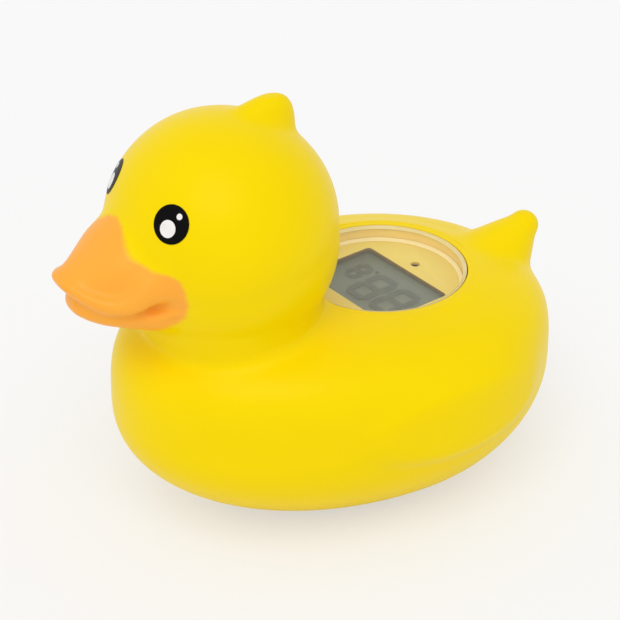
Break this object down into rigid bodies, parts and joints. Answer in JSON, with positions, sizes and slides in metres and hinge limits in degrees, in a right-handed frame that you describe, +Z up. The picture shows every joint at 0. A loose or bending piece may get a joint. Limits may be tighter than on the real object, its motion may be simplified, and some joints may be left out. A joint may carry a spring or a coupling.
{
  "type": "duck bath thermometer",
  "caption": "Floating duck that measures bath water temperature, with a round clear lens over a liquid crystal display in its back.",
  "frame": {"origin": "on the surface it stands on, below the middle of the object's bounding box", "axes": "+Z up, -Y the way the duck faces, X = 0 its plane of symmetry"},
  "size_m": [0.0788, 0.119, 0.0971],
  "materials": {
    "duck_yellow": "soft sheen",
    "bill_orange": "soft sheen",
    "print_black": "printed, satin",
    "print_white": "printed, satin",
    "clear_plastic": "polished clear plastic",
    "lcd_glass": "polished",
    "lcd_grey": "grey green reflector",
    "lcd_segments": "dark segments",
    "mask_yellow": "matt",
    "white_plastic": "moulded",
    "board_green": "solder mask",
    "epoxy_black": "cured resin",
    "rubber_grey": "matt rubber",
    "zebra_rubber": "layered silicone",
    "steel": "stainless",
    "nickel_plate": "nickel plated spring strip",
    "led_red": "tinted resin",
    "wire_red": "sheath",
    "wire_black": "sheath",
    "wire_white": "sheath"
  },
  "bodies": {
    "root": {"duck_shell": "duck_yellow", "bill": "bill_orange", "eye_left": "print_black", "eye_right": "print_black", "eye_glint_large_left": "print_white", "eye_glint_large_right": "print_white", "eye_glint_small_left": "print_white", "eye_glint_small_right": "print_white", "display_lens": "clear_plastic", "lens_gasket": "rubber_grey", "mask_plate": "mask_yellow", "lcd_front_glass": "lcd_glass", "lcd_segments": "lcd_segments", "lcd_rear_glass": "lcd_grey", "lcd_frame": "white_plastic", "zebra_strip": "zebra_rubber", "circuit_board": "board_green", "board_screw_1": "steel", "board_screw_2": "steel", "board_screw_3": "steel", "warning_led": "led_red", "chip_blob": "epoxy_black", "quartz_crystal": "steel", "display_housing": "white_plastic", "base_plate": "duck_yellow", "base_seal": "rubber_grey", "battery_door": "duck_yellow", "battery_door_seal": "rubber_grey", "battery_door_screw": "steel", "battery_link": "nickel_plate", "button_cell_left": "steel", "button_cell_right": "steel", "battery_leaf_left": "nickel_plate", "battery_leaf_right": "nickel_plate", "probe_cap": "steel", "temperature_sensor": "epoxy_black", "water_contact_left": "steel", "water_contact_right": "steel", "battery_wire_red": "wire_red", "battery_wire_black": "wire_black", "sensor_wire": "wire_white", "contact_wire_left": "wire_white", "contact_wire_right": "wire_white"}
  },
  "joints": []
}
